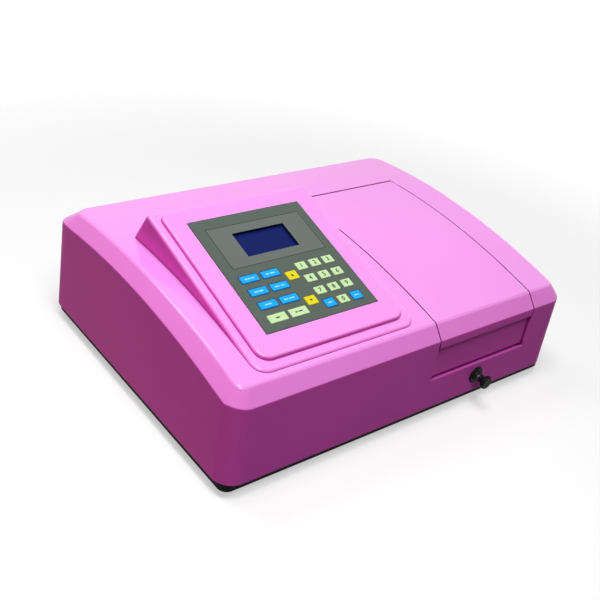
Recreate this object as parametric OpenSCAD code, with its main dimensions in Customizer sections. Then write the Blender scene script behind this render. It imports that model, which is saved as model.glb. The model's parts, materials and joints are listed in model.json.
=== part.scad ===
// Bench spectrophotometer with a tilted keypad console, a drape-over sample lid and a pull-rod cell changer.
// X runs to the right, Y to the rear and Z up. The origin is on the bench, below the middle of the part.

/* [Casing] */
// Width of the casing at its lower edge
casing_w = 470; // [460:1:480]
// Depth of the casing at its lower edge
casing_d = 350; // [346:1:354]
// Height of the arched top at its crown, above the bench
crown_h = 145; // [143:0.5:148]
// Distance of the crown behind the middle of the casing
crown_y = 43.5; // [40:0.5:47]
// Radius of the arched top
arch_r = 850; // [820:10:900]
// Width of the bevel round the top
bevel_w = 13; // [11:0.5:14]
// Height of the bevel round the top
bevel_h = 15; // [13:0.5:16]
// Rounding of the bevel's upper edge
bevel_soft = 7; // [4:0.5:9]
// Rounding of the bevel's lower edge
bevel_low = 2.5; // [1.5:0.5:5]
// Radius of the upright corners at the front
corner_r = 22; // [20:0.5:24]
// Radius of the upright corners at the rear
rear_corner_r = 30; // [27:0.5:32]
// Thickness of the moulded walls
wall = 3; // [2.6:0.1:3.4]
// Lean of the front wall, in degrees
front_draft = 2; // [1.5:0.1:2.2]
// Lean of the side and rear walls, in degrees
side_draft = 0.7; // [0.4:0.1:0.9]

/* [Base] */
// Height of the rubber feet
foot_h = 9; // [7:0.5:10]
// Height of the black base that shows below the casing
base_h = 8; // [6:0.5:9]
// Thickness of the base's floor
floor_t = 3; // [2.5:0.1:3.5]
// Distance of the feet from the middle, sideways
foot_x = 190; // [170:1:200]
// Distance of the feet from the middle, front and rear
foot_y = 138; // [120:1:142]

/* [Console] */
// Middle of the console, sideways
console_x = -96; // [-98:0.5:-94]
// Front edge of the console's top
console_y = -154; // [-155:0.5:-152]
// Height of the console's front edge above the bench
console_z = 123.8; // [123.5:0.1:126]
// Tilt of the console, in degrees
console_tilt = 15.3; // [14:0.1:17]
// Width of the console
console_w = 202; // [198:1:206]
// Length of the console up its slope
console_l = 217; // [213:1:220]
// Height of the raised panel on the console
panel_h = 4; // [3.5:0.1:4.5]
// Width of the membrane
membrane_w = 140.5; // [138:0.5:144]
// Length of the membrane up the slope
membrane_l = 153; // [151:0.5:156]

/* [Display and keys] */
// Width of the display's opening
lcd_w = 65; // [60:0.5:68]
// Height of the display's opening
lcd_h = 33.5; // [30:0.5:36]
// Distance between the rows of keys
key_pitch = 17.5; // [17:0.1:18]
// Distance between the two columns of wide keys
wide_pitch = 25.5; // [25:0.1:26.5]
// Travel of a key
key_travel = 0.4; // [0.3:0.05:0.5]

/* [Lid] */
// Middle of the lid, sideways
lid_x = 102.5; // [101:0.5:104]
// Width of the lid
lid_w = 150; // [148:0.5:151]
// Rear edge of the lid
lid_rear = 83; // [82:0.5:84]
// Height of the flap's lower edge above the bench
flap_z = 57; // [56:0.5:60]
// Set-back of the flap from the front wall
flap_back = 4; // [3:0.5:5]
// Gap round the lid
lid_gap = 1.4; // [1:0.1:1.6]

/* [Cell changer] */
// Number of cells in the carriage
cells = 4; // [2:1:4]
// Distance between cells
cell_pitch = 18; // [17:0.5:18]
// Width of a cell's square seat
cell_w = 12.6; // [12.4:0.1:13]
// Height of the pull rod above the bench
rod_z = 39; // [38.5:0.5:40]
// Radius of the pull rod and the guide rods
rod_r = 3; // [2.5:0.5:3]
// Reach of the pull knob in front of the casing
knob_reach = 17.5; // [17:0.5:20]
// Height of the light beam above the bench
beam_z = 46; // [45:0.5:48]
// Place of the light beam, front to rear
beam_y = -30; // [-32:1:-28]

/* [Rear fittings] */
// Reach of the longest rear fitting behind the casing
rear_reach = 5; // [4.5:0.5:6]
// Middle of the mains inlet, sideways
inlet_x = -185; // [-190:1:-180]
// Middle of the power switch, sideways
switch_x = -135; // [-140:1:-130]
// Middle of the fan, sideways
fan_x = -20; // [-25:1:-10]
// Middle of the data port, sideways
port_x = 120; // [100:1:150]
// Height of the inlet, switch and port above the bench
fitting_z = 50; // [48:1:54]

/* [Hidden] */
pink = [0.96, 0.62, 0.94];
black = [0.06, 0.06, 0.07];
grey = [0.42, 0.45, 0.43];
steel = [0.72, 0.73, 0.75];
board_green = [0.10, 0.36, 0.20];
key_blue = [0.0, 0.58, 0.93];
key_green = [0.84, 0.94, 0.70];
key_yellow = [0.96, 0.86, 0.10];
$fn = 64;
tiny = 0.01;
running = 0.05;

half_w = casing_w / 2;
half_d = casing_d / 2;
casing_z = foot_h + base_h;
floor_z = foot_h + floor_t;
part_shift = (knob_reach - rear_reach) / 2;
arch_span = 36;
arch_deep = 160;
high = 60;

// Walls of the casing at a height, or at a distance from the axis of the arch
function front_y(z) = (z - casing_z) * tan(front_draft) - half_d;
function rear_y(z) = half_d - (z - casing_z) * tan(side_draft);
function arch_z(y) = crown_h - arch_r + sqrt(pow(arch_r, 2) - pow(y - crown_y, 2));
function arch_slope(y) = -asin((y - crown_y) / arch_r);
function flank_x(r) = half_w - (r - arch_r + crown_h - casing_z) * tan(side_draft);

// Outlines with rounded corners, and outlines set inwards
function unit(v) = v / norm(v);
function inward(a, b) = let (d = unit(b - a)) [-d.y, d.x];
function ring(list, i) = list[(i + len(list)) % len(list)];
function inset_corner(a, b, c, t) =
    let (m = inward(a, b), n = inward(b, c)) b + (m + n) * t / (1 + m * n);
function inset(pts, t) =
    [for (i = [0 : len(pts) - 1]) inset_corner(ring(pts, i - 1), pts[i], ring(pts, i + 1), t)];
function corner_arc(a, b, c, r, n) =
    let (
        u = unit(a - b),
        v = unit(c - b),
        half = acos(u * v) / 2,
        middle = b + unit(u + v) * r / sin(half),
        from = b + u * r / tan(half) - middle,
        to = b + v * r / tan(half) - middle,
        start = atan2(from.y, from.x),
        sweep = (atan2(to.y, to.x) - start + 540) % 360 - 180
    )
    [for (i = [0 : n]) middle + r * [cos(start + sweep * i / n), sin(start + sweep * i / n)]];
function rounded(pts, radii, n = 5) =
    [for (i = [0 : len(pts) - 1])
        each radii[i] > 0 ? corner_arc(ring(pts, i - 1), pts[i], ring(pts, i + 1), radii[i], n) : [pts[i]]];
function box_outline(x0, y0, x1, y1) = [[x0, y0], [x1, y0], [x1, y1], [x0, y1]];
function upright_r(way) = way < 0 ? corner_r : rear_corner_r;
function round_box(w, h, r, n = 5) =
    rounded(box_outline(-w / 2, -h / 2, w / 2, h / 2), [r, r, r, r], n);

// The casing's plan, set in by t, with its corner radii grown by more
inner_more = 4;
function floor_plan(t, more) =
    rounded(box_outline(t - half_w, t - half_d, half_w - t, half_d - t),
        [corner_r + more, corner_r + more, rear_corner_r + more, rear_corner_r + more]);

// The casing's section across the arch, as distance from the arch's axis and place sideways
function flank_side(bw, bh) = [[arch_r - arch_deep, flank_x(arch_r - arch_deep)],
    [arch_r - bh, flank_x(arch_r - bh)], [arch_r, flank_x(arch_r - bh) - bw]];
function flank_outline(bw, bh) = let (s = flank_side(bw, bh))
    [[s[0].x, -s[0].y], [s[1].x, -s[1].y], [s[2].x, -s[2].y], s[2], s[1], s[0]];

// The casing's section from front to rear, as place and height
bevel_rise = 1.5;
bevel_run = 24;
function front_shoulder(bw, bh) =
    let (y = front_y(arch_z(-half_d) - bh) + bw, z = arch_z(y) - bh) [[front_y(z), z], [y, z + bh]];
function rear_shoulder(bw, bh) =
    let (y = rear_y(arch_z(half_d) - bh) - bw, z = arch_z(y) - bh) [[rear_y(z), z], [y, z + bh]];
function run_up(p, way) = let (a = arch_slope(p.x) * way + bevel_rise)
    p + bevel_run * [way * cos(a), sin(a)];
function long_outline(bw, bh, low) =
    let (f = front_shoulder(bw, bh), r = rear_shoulder(bw, bh), fq = run_up(f[1], 1), rq = run_up(r[1], -1))
    [[front_y(low), low], [rear_y(low), low], r[0], r[1], rq,
        [rq.x, crown_h + high], [fq.x, crown_h + high], fq, f[1], f[0]];
long_soft = [0, 0, bevel_low, bevel_soft, 0, 0, 0, 0, bevel_soft, bevel_low];
flank_soft = [0, bevel_low, bevel_soft, bevel_soft, bevel_low, 0];

// Lid, hinge and sample compartment
lid_left = lid_x - lid_w / 2;
lid_right = lid_x + lid_w / 2;
lid_skirt = 12;
rear_gap = 2.6;
band_z = 96;
band_step = 4;
hinge_drop = 6;
hinge_y = lid_rear - hinge_drop;
hinge_z = arch_z(hinge_y) - hinge_drop;
barrel_r = 5;
lid_edge = 4;
pin_r = 2;
pin_l = 20;
lug_w = 8;
lip_gap = lid_gap + 0.3;
lug_gap = lid_gap + 0.6;
sill_z = flap_z - lid_gap;
sill_y = front_y(sill_z) + 0.6;
sill_fall = 2.4;
tub_gap = 7;
tub_left = lid_left + tub_gap;
tub_right = lid_right - tub_gap;
tub_front = -160;
tub_rear = 70;
tub_w = 3;
tub_rim = arch_r - lid_skirt;
seal_h = 8.5;
window_r = 6;

// Cell changer
carriage_front = beam_y - 12;
carriage_rear = beam_y + cell_pitch * (cells - 1) + 12;
carriage_foot = floor_z + 8;
guide_z = floor_z + 15;
guide_x = 24;
carriage_w = 64;
block_w = 22;
block_top = 74;
seat_z = 30;
foot_top = 34;
bush_y = front_y(rod_z) + 0.5;
bush_r = 10;
bush_body = 7;
knob_r = 8;

// Console and keypad, in the console's own plane
plinth_deep = 70;
plinth_soft = 4;
panel_soft = 3;
panel_w = 183;
panel_from = 11.5;
panel_to = 210.5;
membrane_u = 1;
membrane_v = 113.9;
membrane_t = 1.6;
membrane_sink = 1.2;
lcd_u = 1.5;
lcd_v = 147.8;
lcd_rim = 3;
lcd_edge = 0.9;
lcd_glass = 1.5;
module_w = 93;
module_h = 70;
module_t = 8;
post_r = 3;
key_top_v = 104.2;
wide_u = -47.2;
arrow_u = 0;
pad_u = 17.7;
key_t = 1;
key_side = 0.3;
key_proud = 0.4;
key_room = 0.2;
key_top = panel_h - membrane_sink + membrane_t + key_proud;
pocket_z = key_top - key_t - key_travel - key_room;
wide_blue = [22.4, 10.2, 1.6, key_blue, 0.9];
wide_green = [21.6, 10.2, 0.5, key_green, 0.35];
arrow_pad = [13.4, 11.2, 0.6, key_yellow, 0.35];
digit_pad = [12.8, 10.2, 0.5, key_green, 0.35];
small_blue = [14.2, 11.6, 1.6, key_blue, 0.9];
function row_v(i) = key_top_v - i * key_pitch;
KEYS = concat(
    [for (i = [0 : 3], j = [0 : 1])
        [str("key_wide_", 2 * i + j + 1), wide_u + j * wide_pitch, row_v(i), i < 3 ? wide_blue : wide_green]],
    [for (i = [0 : 1]) [str("key_arrow_", i + 1), arrow_u, row_v(2 * i + 0.5), arrow_pad]],
    [for (i = [0 : 3], j = [0 : 2])
        [str("key_pad_", 3 * i + j + 1), pad_u + j * key_pitch, row_v(i),
            i == 3 && j != 1 ? small_blue : digit_pad]]
);

// Fasteners and rear fittings
boss_x = half_w - 13;
boss_y = [-135, 0, 135];
boss_r = 6;
boss_top = 60;
screw_r = 2;
screw_head = 4;
screw_head_h = 2.6;
screw_l = 24;
fan_w = 60;
fan_t = 15;
fan_z = 58;
fan_bore = 28;
fan_hub = 14;
fan_blades = 7;
fan_pin = 2;
fan_hole = 25;
fan_seat = 4;
fan_back = rear_y(fan_z + fan_w / 2) - wall - fan_seat;
fitting_y = half_d - 1.2;
small_r = 1.5;
small_head = 2.8;
small_head_h = 1.8;
small_l = 8;
inlet_hole = 20;
inlet_flange = 2.4;
vent_slots = 9;
vent_pitch = 6;
vent_w = 3;

// Shared shapes

// Moves the part so that its origin is below the middle of its whole length
module placed() {
    translate([0, part_shift, 0])
        children();
}

// Turns a section about the axis of the arched top
module arch_turn() {
    translate([0, crown_y, crown_h - arch_r])
        rotate([0, 90, 0])
            rotate([0, 0, 180 - arch_span / 2])
                rotate_extrude(angle = arch_span, $fn = 256)
                    children();
}

// A slab that follows the arch, between two distances from its axis
module arch_slab(r0, r1, x0, x1) {
    arch_turn()
        polygon(box_outline(r0, x0, r1, x1));
}

// Extrudes a section of place and height sideways
module across(x0, x1) {
    translate([x0, 0, 0])
        rotate([90, 0, 90])
            linear_extrude(x1 - x0)
                children();
}

// A plain block between two corners
module block(p, q) {
    translate(p)
        cube(q - p);
}

// A round bar along X or Y from a starting point
module bar_x(p, r, l) {
    translate(p)
        rotate([0, 90, 0])
            cylinder(r = r, h = l);
}

module bar_y(p, r, l) {
    translate(p)
        rotate([-90, 0, 0])
            cylinder(r = r, h = l);
}

// Moves a shape into the console's plane: X across, Y up the slope, Z out of the panel
module on_console() {
    translate([console_x, console_y, console_z])
        rotate([console_tilt, 0, 0])
            children();
}

// Casing

// Shape inside one upright corner and its bevel, for the right-hand side
module corner_post(way) {
    ease = 0.18;
    reach = 5;
    shoulder = way < 0 ? front_shoulder(bevel_w, bevel_h) : rear_shoulder(bevel_w, bevel_h);
    turn_r = upright_r(way);
    axis_y = shoulder[0].x - way * turn_r;
    edge_z = arch_z(axis_y) - bevel_h;
    low = edge_z - casing_z + reach;
    wall_tilt = way * (shoulder[0].y - edge_z) / turn_r;
    top_tilt = tan(arch_slope(axis_y));
    chain = rounded([[turn_r, -low], [turn_r, 0], [turn_r - bevel_w, bevel_h], [0, bevel_h]],
        [0, bevel_low, bevel_soft, 0], 4);
    hull()
        for (p = chain) {
            z = edge_z + p.y + ease;
            r = p.x + ease;
            tilt = p.y < 0 ? wall_tilt * (1 + p.y / low) : wall_tilt + (top_tilt - wall_tilt) * p.y / bevel_h;
            wall_z = min(z + way * tilt * r, shoulder[0].y);
            axis_at = way < 0 ? front_y(wall_z) + turn_r : rear_y(wall_z) - turn_r;
            wall_r = min(norm([axis_at - crown_y, z - crown_h + arch_r]), arch_r - bevel_h);
            x_at = flank_x(wall_r) - turn_r;
            arc = [for (a = [0 : 9 : 90]) r * [cos(a), way * sin(a)]];
            multmatrix([[1, 0, 0, x_at], [0, 1, 0, axis_at], [0, tilt, 1, z], [0, 0, 0, 1]])
                linear_extrude(tiny)
                    polygon(concat([[-reach, -way * reach], [r, -way * reach]], arc, [[-reach, way * r]]));
        }
}

// What the rounded corner takes off the casing, for the right-hand side
module corner_waste(way) {
    size = 40;
    y = way * (half_d - upright_r(way) - 1);
    difference() {
        block([half_w - upright_r(way) - 1, min(y, y + way * size), casing_z - 1],
            [half_w + size, max(y, y + way * size), crown_h]);
        corner_post(way);
    }
}

// Outer form: flanks and arch in one turn, front and rear in one profile, then the four corners
module casing_form() {
    difference() {
        intersection() {
            arch_turn()
                polygon(rounded(flank_outline(bevel_w, bevel_h), flank_soft));
            across(-half_w - 1, half_w + 1)
                polygon(rounded(long_outline(bevel_w, bevel_h, casing_z), long_soft));
        }
        for (side = [0, 1], way = [-1, 1])
            mirror([side, 0, 0])
                corner_waste(way);
    }
}

// Inner form of the casing, open below
module casing_hollow() {
    extra = 3;
    intersection() {
        arch_turn()
            polygon(inset(flank_outline(bevel_w + extra, bevel_h + extra), wall));
        across(-half_w, half_w)
            polygon(inset(long_outline(bevel_w + extra, bevel_h + extra, casing_z - 10), wall));
        linear_extrude(crown_h)
            polygon(floor_plan(wall, inner_more));
    }
}

// Wall beside the lid opening, deep next to the flap, and the lug that carries the hinge pin
module lid_frame(side) {
    x0 = side < 0 ? lid_left - lip_gap - wall : lid_right + lip_gap;
    lug_x = side < 0 ? lid_left - lug_gap - lug_w : lid_right + lug_gap;
    front = tub_front + 10;
    rear = hinge_y - 4;
    inside_skin(x0, x0 + wall)
        across(x0, x0 + wall)
            polygon([[-half_d, sill_z - 8], [front, sill_z - 8],
                [front, arch_z(front) - lid_skirt], [rear, arch_z(rear) - lid_skirt],
                [rear, crown_h + high], [-half_d, crown_h + high]]);
    difference() {
        block([lug_x, hinge_y - 7, hinge_z - 7], [lug_x + lug_w, hinge_y + 6, arch_z(hinge_y) - wall / 2]);
        bar_x([lug_x - 1, hinge_y, hinge_z], pin_r, lug_w + 2);
    }
}

// Ledge that closes the gap below the flap and falls towards the compartment
module flap_ledge() {
    x0 = lid_left - lip_gap - wall / 2;
    x1 = lid_right + lip_gap + wall / 2;
    top = sill_z - 0.4;
    inside_skin(x0, x1)
        across(x0, x1)
            polygon([[-half_d, top - 6], [tub_front - 1, top - 6], [tub_front - 1, top - sill_fall],
                [sill_y, top], [-half_d, top]]);
}

// Keeps a form inside the casing's skin, half a wall from its outer faces
module inside_skin(x0, x1) {
    intersection() {
        arch_slab(arch_r - arch_deep, arch_r - wall / 2, x0 - 1, x1 + 1);
        across(x0 - 1, x1 + 1)
            polygon(inset(long_outline(bevel_w, bevel_h, casing_z), wall / 2));
        children();
    }
}

module screw_boss(x, y) {
    out = x < 0 ? -1 : 1;
    translate([x, y, floor_z])
        difference() {
            union() {
                cylinder(r = boss_r, h = boss_top - floor_z);
                translate([min(0, out * 10.5), -2, 18])
                    cube([10.5, 4, boss_top - floor_z - 18]);
            }
            translate([0, 0, -1])
                cylinder(r = screw_r, h = screw_l + 1);
        }
}

// A cut into the rear wall round a place across and up, from a depth outwards
module rear_slot(at, w, h, y) {
    block([at.x - w / 2, y, at.y - h / 2], [at.x + w / 2, half_d + 1, at.y + h / 2]);
}

// Openings in the rear wall for the fan, inlet, switch and port
module rear_cuts() {
    seat = [[inlet_x, 50, 27], [switch_x, 25, 19], [port_x, 33, 15]];
    hole = [[inlet_x, 28, 21], [switch_x, 20, 14], [port_x, 19, 10.5]];
    for (s = seat)
        rear_slot([s.x, fitting_z], s.y, s.z, fitting_y);
    for (h = hole)
        rear_slot([h.x, fitting_z], h.y, h.z, half_d - 10);
    for (i = [0 : vent_slots - 1]) {
        z = (i - (vent_slots - 1) / 2) * vent_pitch;
        rear_slot([fan_x, fan_z + z], 2 * sqrt(pow(fan_bore, 2) - pow(z, 2)), vent_w, half_d - 10);
    }
    for (side = [-1, 1])
        bar_y([inlet_x + side * inlet_hole, half_d - 10, fitting_z], small_r, 11);
}

// Posts inside the rear wall that carry the fan
module fan_posts() {
    for (x = [-fan_hole, fan_hole], z = [-fan_hole, fan_hole])
        difference() {
            bar_y([fan_x + x, fan_back, fan_z + z], fan_seat, half_d - fan_back - 2.5);
            bar_y([fan_x + x, fan_back - 1, fan_z + z], small_r, 5);
        }
}

module casing() {
    color(pink) {
        difference() {
            casing_form();
            casing_hollow();
            across(lid_left - lid_gap, lid_right + lid_gap)
                polygon([[-half_d - 1, sill_z], [sill_y, sill_z], [tub_front, sill_z - sill_fall],
                    [lid_rear + rear_gap, sill_z - sill_fall], [lid_rear + rear_gap, crown_h + 1],
                    [-half_d - 1, crown_h + 1]]);
            block([console_x - console_w / 2 + 12, console_y + 20, casing_z + high],
                [console_x + console_w / 2 - 12, hinge_y - 30, crown_h + 1]);
            bar_y([lid_x, -half_d - 1, rod_z], bush_body, 20);
            bar_y([lid_x, -half_d - 1, rod_z], bush_r + 0.3, half_d + 1 + bush_y);
            rear_cuts();
        }
        for (side = [-1, 1])
            lid_frame(side);
        flap_ledge();
        for (x = [-boss_x, boss_x], y = boss_y)
            screw_boss(x, y);
        fan_posts();
    }
}

// Base

module base_tray() {
    gap = 0.4;
    rim_h = 15;
    rim_t = 2;
    base_r = 10;
    side = wall + gap;
    color(black)
        difference() {
            translate([0, 0, foot_h]) {
                linear_extrude(base_h - gap)
                    polygon(round_box(casing_w - 2 * side, casing_d - 2 * side, base_r));
                linear_extrude(rim_h)
                    polygon(floor_plan(side, inner_more));
            }
            translate([0, 0, floor_z])
                linear_extrude(rim_h)
                    polygon(floor_plan(side + rim_t, inner_more - rim_t));
            for (x = [-boss_x, boss_x], y = boss_y)
                translate([x, y, foot_h - 1])
                    cylinder(r = screw_r + 0.3, h = floor_t + 2);
            for (x = [-foot_x, foot_x], y = [-foot_y, foot_y])
                translate([x, y, foot_h - 1])
                    cylinder(r = 4, h = floor_t + 2);
            for (i = [0 : vent_slots - 1])
                translate([fan_x + (i - (vent_slots - 1) / 2) * 9, 106, foot_h + floor_t / 2])
                    cube([vent_w, 44, floor_t + 2], center = true);
        }
}

module feet() {
    color(black)
        for (x = [-foot_x, foot_x], y = [-foot_y, foot_y])
            translate([x, y, 0])
                rotate_extrude()
                    polygon([[0, 0], [10.5, 0], [11.5, 1], [13, foot_h], [4, foot_h],
                        [4, foot_h + floor_t], [0, foot_h + floor_t]]);
}

module casing_screws() {
    color(steel)
        for (x = [-boss_x, boss_x], y = boss_y)
            translate([x, y, foot_h]) {
                cylinder(r = screw_r, h = screw_l);
                translate([0, 0, -screw_head_h])
                    cylinder(r1 = screw_head - 0.6, r2 = screw_head, h = screw_head_h);
            }
}

// Console

// The plinth's outline, set in by t, with its rear edge moved by run
function plinth_outline(t, run) =
    rounded(box_outline(t - console_w / 2, t, console_w / 2 - t, console_l + run - t),
        [16 - t, 16 - t, 5 - t, 5 - t]);
function panel_outline(t) =
    rounded(box_outline(t - panel_w / 2, panel_from + t, panel_w / 2 - t, panel_to - t),
        [14 - t, 14 - t, 10 - t, 10 - t]);

// Fall below the top and inset of a rounded edge of radius r, in steps up from its foot
edge_steps = [0 : 22.5 : 90];
function edge_fall(r) = [for (a = edge_steps) r * (1 - sin(a))];
function edge_inset(r) = [for (a = edge_steps) r * (1 - cos(a))];

// Solid through outlines of equal count at rising heights
module loft(heights, outlines) {
    n = len(outlines[0]);
    top = len(outlines) - 1;
    points = [for (i = [0 : top], p = outlines[i]) [p.x, p.y, heights[i]]];
    sides = [for (i = [0 : top - 1], j = [0 : n - 1])
        [i * n + j, (i + 1) * n + j, (i + 1) * n + (j + 1) % n, i * n + (j + 1) % n]];
    floor_face = [for (j = [0 : n - 1]) j];
    top_face = [for (j = [n - 1 : -1 : 0]) top * n + j];
    polyhedron(points, concat([floor_face], sides, [top_face]));
}

// Wedge with a leaning rear and a rounded upper edge
module plinth() {
    lean = tan(15);
    fall = edge_fall(plinth_soft);
    t = edge_inset(plinth_soft);
    edge = [for (i = [0 : len(t) - 1]) plinth_outline(t[i], fall[i] * lean)];
    loft(concat([-plinth_deep], -fall), concat([plinth_outline(0, plinth_deep * lean)], edge));
}

// Flat panel with a rounded edge on top of the plinth
module raised_panel() {
    heights = [for (f = edge_fall(panel_soft)) panel_h - f];
    edge = [for (t = edge_inset(panel_soft)) panel_outline(t)];
    loft(concat([-1], heights), concat([panel_outline(0)], edge));
}

// Space under the console's skin
module console_hollow() {
    translate([0, 0, -plinth_deep])
        linear_extrude(plinth_deep - wall)
            polygon(plinth_outline(wall, 0));
    translate([0, 0, -wall - 1])
        linear_extrude(panel_h + 1)
            polygon(panel_outline(wall + 1));
}

module lcd_posts() {
    for (i = [-1, 1], j = [-1, 1])
        translate([lcd_u + i * (module_w / 2 - 4), lcd_v + j * (module_h / 2 - 4), -lcd_glass - module_t])
            cylinder(r = post_r, h = panel_h - wall + lcd_glass + module_t + 1);
}

module console() {
    color(pink)
        difference() {
            on_console()
                difference() {
                    union() {
                        difference() {
                            union() {
                                plinth();
                                raised_panel();
                            }
                            console_hollow();
                        }
                        lcd_posts();
                    }
                    translate([membrane_u, membrane_v, panel_h - membrane_sink])
                        linear_extrude(membrane_sink + 1)
                            square([membrane_w + 0.4, membrane_l + 0.4], center = true);
                    translate([lcd_u, lcd_v, 0])
                        cube([lcd_w + 2 * lcd_edge + 0.2, lcd_h + 2 * lcd_edge + 0.2, 30], center = true);
                }
            arch_slab(arch_r - arch_deep, arch_r, -half_w, half_w);
        }
}

module membrane() {
    back = panel_h - membrane_sink;
    color(grey)
        on_console()
            difference() {
                translate([membrane_u, membrane_v, back])
                    linear_extrude(membrane_t)
                        polygon(round_box(membrane_w, membrane_l, 0.8));
                translate([lcd_u, lcd_v, 0])
                    cube([lcd_w, lcd_h, 30], center = true);
                for (k = KEYS)
                    translate([k[1], k[2], pocket_z])
                        linear_extrude(membrane_t)
                            key_outline(k[3], key_side);
            }
}

// A key's outline grown by t
module key_outline(size, t) {
    polygon(round_box(size[0] + 2 * t, size[1] + 2 * t, size[2] + t, 3));
}

// Key with a raised face inside a lower rim
module key(k) {
    rise = 0.35;
    size = k[3];
    color(size[3])
        on_console()
            translate([k[1], k[2], key_top - key_t]) {
                linear_extrude(key_t - rise)
                    key_outline(size, 0);
                translate([0, 0, key_t - rise])
                    linear_extrude(rise)
                        key_outline(size, -size[4]);
            }
}

// Display window with a raised border that lines the opening up to the membrane
module lcd_window() {
    color([0.10, 0.14, 0.42])
        on_console()
            translate([lcd_u, lcd_v, panel_h - wall - lcd_glass]) {
                linear_extrude(lcd_glass)
                    polygon(round_box(lcd_w + 2 * lcd_rim, lcd_h + 2 * lcd_rim, 1));
                linear_extrude(lcd_glass + wall - membrane_sink - 0.1)
                    difference() {
                        square([lcd_w + 2 * lcd_edge, lcd_h + 2 * lcd_edge], center = true);
                        square([lcd_w, lcd_h], center = true);
                    }
            }
}

// Display: a pressed frame on a circuit board that stands on the console's posts
module lcd_module() {
    board_t = 1.6;
    frame_w = 78;
    frame_h = 50;
    glass_back = panel_h - wall - lcd_glass;
    board_z = -lcd_glass - module_t;
    color(board_green)
        on_console()
            translate([lcd_u, lcd_v, 0]) {
                translate([0, 0, board_z - board_t])
                    linear_extrude(board_t)
                        polygon(round_box(module_w, module_h, 1.5));
                translate([0, 0, board_z])
                    linear_extrude(glass_back - board_z - 0.3)
                        polygon(round_box(frame_w, frame_h, 2));
            }
}

// Lid

// The lid's section from front to rear: bevel, flush band, step, and the flap below it
function lid_outline() =
    let (f = front_shoulder(bevel_w, bevel_h), fq = run_up(f[1], 1))
    [[front_y(flap_z) + flap_back, flap_z], [lid_rear, flap_z], [lid_rear, arch_z(lid_rear) + 0.6],
        [hinge_y - bevel_run, crown_h + high], [fq.x, crown_h + high], fq, f[1], f[0],
        [front_y(band_z), band_z], [front_y(band_z - band_step) + flap_back, band_z - band_step]];
lid_soft = [0, 0, lid_edge, 0, 0, 0, bevel_soft, bevel_low, 2, 2];

module lid() {
    outline = lid_outline();
    flap_inner = front_y(band_z) + flap_back + wall + 1;
    color(pink)
        difference() {
            union() {
                difference() {
                    intersection() {
                        arch_slab(arch_r - arch_deep, arch_r, lid_left, lid_right);
                        across(lid_left, lid_right)
                            polygon(rounded(outline, lid_soft));
                    }
                    intersection() {
                        arch_slab(arch_r - arch_deep - 1, arch_r - wall, lid_left + wall, lid_right - wall);
                        across(lid_left, lid_right)
                            polygon(concat(
                                [[outline[0].x + wall, flap_z - 1], [lid_rear + 1, flap_z - 1],
                                    [lid_rear + 1, hinge_z - 3], [lid_rear - wall, hinge_z - 3]],
                                [for (i = [2 : len(outline) - 1])
                                    inset_corner(outline[i - 1], outline[i], ring(outline, i + 1), wall)]
                            ));
                    }
                    intersection() {
                        arch_slab(arch_r - arch_deep - 1, arch_r - lid_skirt, lid_left - 1, lid_right + 1);
                        block([lid_left - 1, flap_inner, 0], [lid_right + 1, lid_rear + 1, crown_h]);
                    }
                }
                bar_x([lid_left, hinge_y, hinge_z], barrel_r, lid_w);
            }
            for (x = [lid_left - 1, lid_right - pin_l + lug_w])
                bar_x([x, hinge_y, hinge_z], pin_r + running, pin_l - lug_w + 1);
        }
}

module hinge_pins() {
    color(steel)
        for (x = [lid_left - lug_gap - lug_w, lid_right + lug_gap + lug_w - pin_l])
            bar_x([x, hinge_y, hinge_z], pin_r, pin_l);
}

// Sample compartment

// Block under the lid between two distances from the arch's axis, set in from the tub's walls by t
module tub_form(r0, r1, t) {
    intersection() {
        arch_slab(r0, r1, tub_left + t, tub_right - t);
        across(tub_left + t, tub_right - t)
            polygon([[tub_front + t, floor_z], [tub_rear - t, floor_z], [tub_rear - t, crown_h],
                [tub_front + 30, crown_h], [tub_front + t, crown_h - 37]]);
    }
}

module tub() {
    color(black)
        difference() {
            tub_form(arch_r - arch_deep, tub_rim, 0);
            block([tub_left + tub_w, tub_front + tub_w, floor_z + tub_w],
                [tub_right - tub_w, tub_rear - tub_w, crown_h]);
            bar_x([tub_left - 1, beam_y, beam_z], window_r, tub_right - tub_left + 2);
            bar_y([lid_x, tub_front - 1, rod_z], rod_r + 1, 10);
            for (side = [-1, 1])
                bar_y([lid_x + side * guide_x, tub_front - 1, guide_z], rod_r, tub_rear - tub_front + 2);
        }
}

module lid_seal() {
    color([0.16, 0.16, 0.17])
        difference() {
            tub_form(tub_rim, tub_rim + seal_h, 0);
            block([tub_left + tub_w, tub_front + tub_w, floor_z],
                [tub_right - tub_w, tub_rear - tub_w, crown_h]);
        }
}

module guide_rods() {
    color(steel)
        for (side = [-1, 1])
            bar_y([lid_x + side * guide_x, tub_front, guide_z], rod_r, tub_rear - tub_front);
}

module beam_windows() {
    color([0.8, 0.9, 0.95])
        for (x = [tub_left, tub_right - tub_w])
            bar_x([x, beam_y, beam_z], window_r, tub_w);
}

// Carriage with a row of square seats, beam ports through each and a sliding foot on the guide rods
module carriage() {
    color(black)
        difference() {
            union() {
                block([lid_x - carriage_w / 2, carriage_front, carriage_foot],
                    [lid_x + carriage_w / 2, carriage_rear, foot_top]);
                block([lid_x - block_w / 2, carriage_front, foot_top - 1],
                    [lid_x + block_w / 2, carriage_rear, block_top]);
            }
            for (i = [0 : cells - 1])
                translate([lid_x, beam_y + i * cell_pitch, 0]) {
                    block([-cell_w / 2, -cell_w / 2, seat_z], [cell_w / 2, cell_w / 2, block_top + 1]);
                    bar_x([-block_w, 0, beam_z], 3.5, 2 * block_w);
                }
            for (side = [-1, 1])
                bar_y([lid_x + side * guide_x, carriage_front - 1, guide_z], rod_r + running,
                    carriage_rear - carriage_front + 2);
            bar_y([lid_x, carriage_front - 1, rod_z], rod_r, 5);
        }
}

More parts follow.
